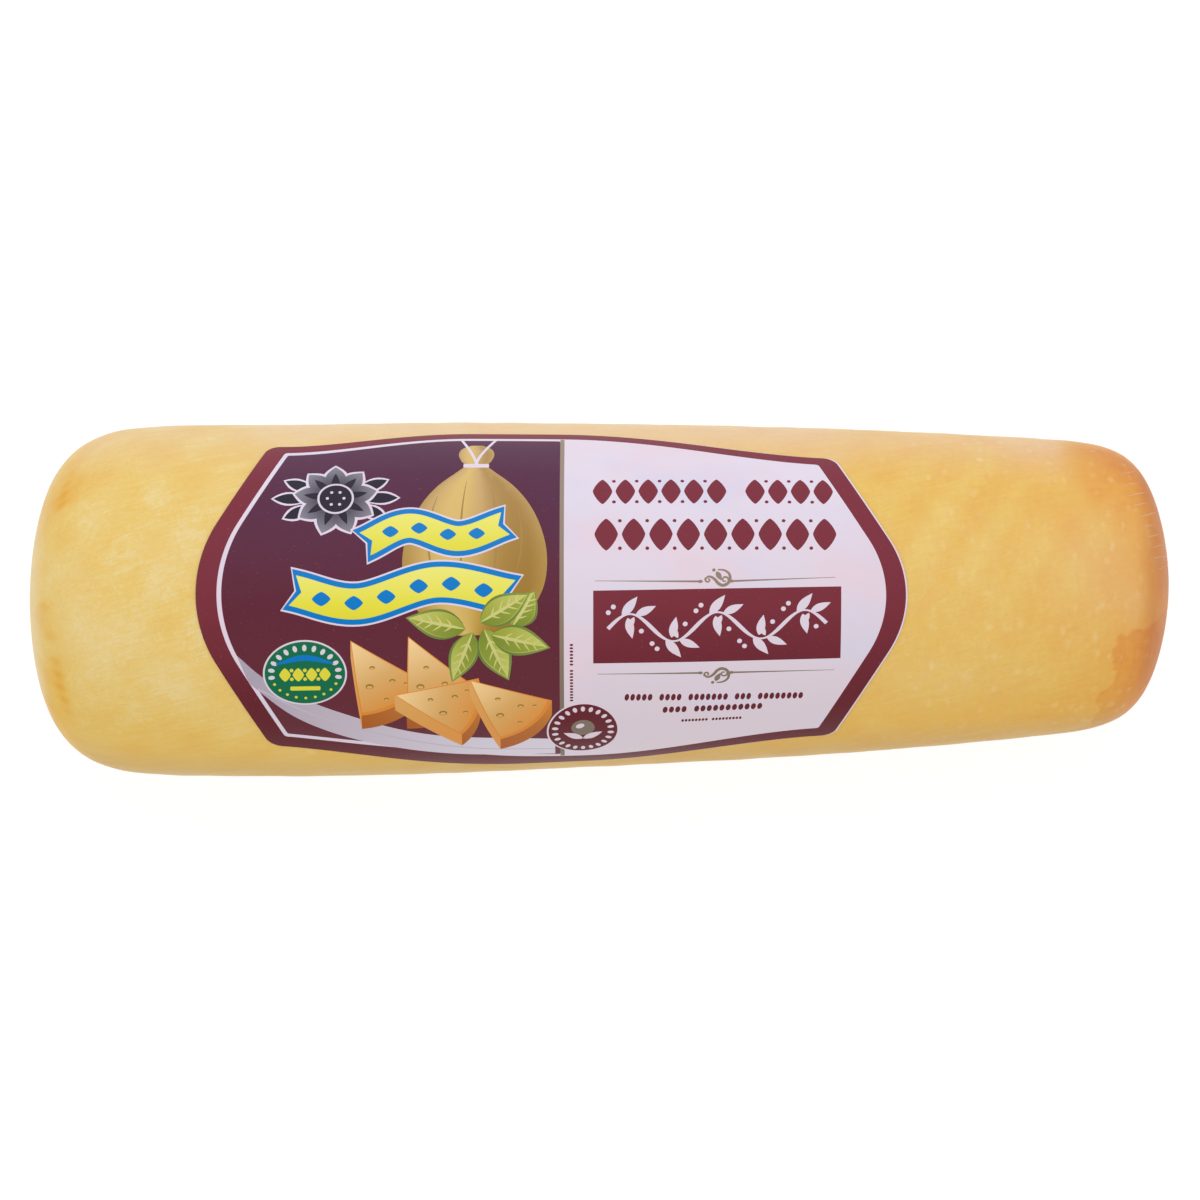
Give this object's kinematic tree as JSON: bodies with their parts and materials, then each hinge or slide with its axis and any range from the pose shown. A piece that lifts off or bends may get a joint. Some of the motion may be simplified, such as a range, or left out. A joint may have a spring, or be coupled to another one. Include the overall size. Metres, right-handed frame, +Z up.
{
  "type": "provolone cheese log in a printed shrink bag",
  "caption": "Whole smoked provolone log, slightly tapered with blunt domed ends, shut in a tight clear shrink bag with a long printed label on top.",
  "frame": {"origin": "on the plane it rests on, under the middle of the log's bounding box", "axes": "+X along the log towards its thin end, +Z up through the label, +Y towards the label's top edge"},
  "size_m": [0.331, 0.1026, 0.0981],
  "materials": {
    "smoked_cheese": "smooth smoked provolone rind, warm yellow, deepening to orange at the ends",
    "shrink_film": "clear tight shrink film, glossy, with fine pleats at the ends",
    "burgundy_ink": "burgundy print on glossy film",
    "plum_ink": "dark plum print on glossy film",
    "pale_ink": "pale pinkish white print on glossy film",
    "green_ink": "green print on glossy film",
    "gold_ink": "flat tan gold print on glossy film",
    "golden_ink": "golden yellow print on glossy film",
    "leaf_ink": "leaf green print on glossy film",
    "blue_ink": "blue print on glossy film",
    "yellow_ink": "bright yellow print on glossy film"
  },
  "bodies": {
    "root": {"cheese_log": "smoked_cheese", "label_border": "burgundy_ink", "label_picture_field": "plum_ink", "label_text_field": "pale_ink", "label_name_band": "burgundy_ink", "label_left_oval": "green_ink", "label_middle_oval": "burgundy_ink", "seal_thick_end": "shrink_film", "seal_thin_end": "shrink_film"}
  },
  "joints": []
}
